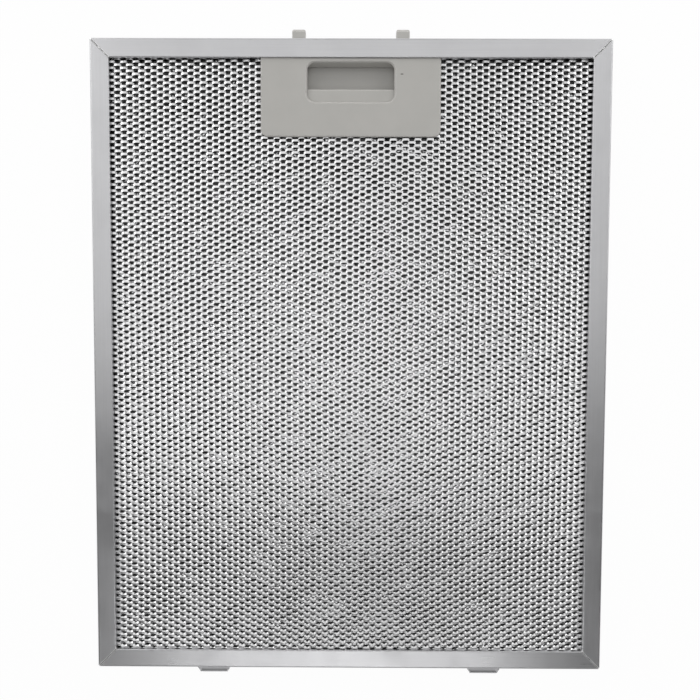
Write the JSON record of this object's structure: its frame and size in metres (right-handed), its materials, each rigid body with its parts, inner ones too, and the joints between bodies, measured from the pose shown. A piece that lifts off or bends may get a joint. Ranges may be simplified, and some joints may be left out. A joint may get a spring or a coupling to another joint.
{
  "type": "cooker hood grease filter",
  "caption": "Flat rectangular cooker hood grease filter: folded aluminium frame round a pack of expanded metal mesh, with a sprung finger latch in one edge and leaf springs in the other.",
  "frame": {"origin": "middle of the frame's back face, on the surface that the filter lies on", "axes": "+X across the filter, +Y up to the latch edge, +Z out of the front face"},
  "size_m": [0.26, 0.3287, 0.009],
  "materials": {
    "frame_aluminium": "mill-rolled sheet, satin, with fine rolling lines along each rail",
    "mesh_aluminium": "bright bare expanded metal",
    "foil_aluminium": "bright thin foil",
    "grey_plastic": "moulded warm grey plastic, fine matt texture",
    "spring_steel": "plain spring steel"
  },
  "bodies": {
    "filter": {"frame": "frame_aluminium", "front_mesh": "mesh_aluminium", "front_foil": "foil_aluminium", "middle_foil": "foil_aluminium", "back_foil": "foil_aluminium", "back_mesh": "mesh_aluminium", "latch_cover": "grey_plastic", "latch_back": "grey_plastic", "latch_spring": "spring_steel", "left_leaf_spring": "spring_steel", "right_leaf_spring": "spring_steel"},
    "latch": {"latch_slider": "grey_plastic"}
  },
  "joints": [
    {"name": "latch_slide", "type": "slide", "parent": "filter", "child": "latch", "axis": [0, -1, 0], "range_m": [0, 0.006], "stiffness_N_per_m": 300, "springref_m": -0.004, "deforming": ["latch_spring"]}
  ]
}
